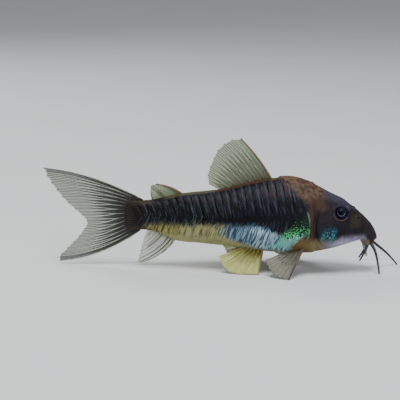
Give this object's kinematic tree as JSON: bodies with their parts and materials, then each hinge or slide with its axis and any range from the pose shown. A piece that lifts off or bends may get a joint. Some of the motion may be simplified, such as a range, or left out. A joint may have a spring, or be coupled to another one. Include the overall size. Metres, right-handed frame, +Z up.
{
  "type": "catfish model",
  "caption": "Life-size still model of a bronze armoured catfish resting on its paired fins and barbels.",
  "frame": {"origin": "centre of the bounding box at floor level, under the middle of the fish", "axes": "+X towards the snout, +Y to the fish's left side, +Z up from the floor it rests on"},
  "size_m": [0.0868, 0.0278, 0.0317],
  "materials": {
    "head_skin": "smooth wet skin, brown and grey",
    "flank_skin": "bony plates under wet skin, near black above and silvery to cream below",
    "fin": "thin clear membrane with pale rays",
    "yellow_fin": "thin yellow membrane with pale rays",
    "barbel": "soft dark blue-grey skin",
    "eye": "clear wet dome over a dark iris and pupil"
  },
  "bodies": {
    "root": {"head": "head_skin", "trunk": "flank_skin", "tail_stem": "flank_skin", "eye_left": "eye", "eye_right": "eye", "dorsal_fin": "fin", "adipose_fin": "fin", "tail_fin": "fin", "anal_fin": "fin", "pectoral_fin_left": "fin", "pectoral_fin_right": "fin", "pelvic_fin_left": "yellow_fin", "pelvic_fin_right": "yellow_fin", "upper_barbel_left": "barbel", "upper_barbel_right": "barbel", "lower_barbel_left": "barbel", "lower_barbel_right": "barbel", "chin_barbel_left": "barbel", "chin_barbel_right": "barbel"}
  },
  "joints": []
}
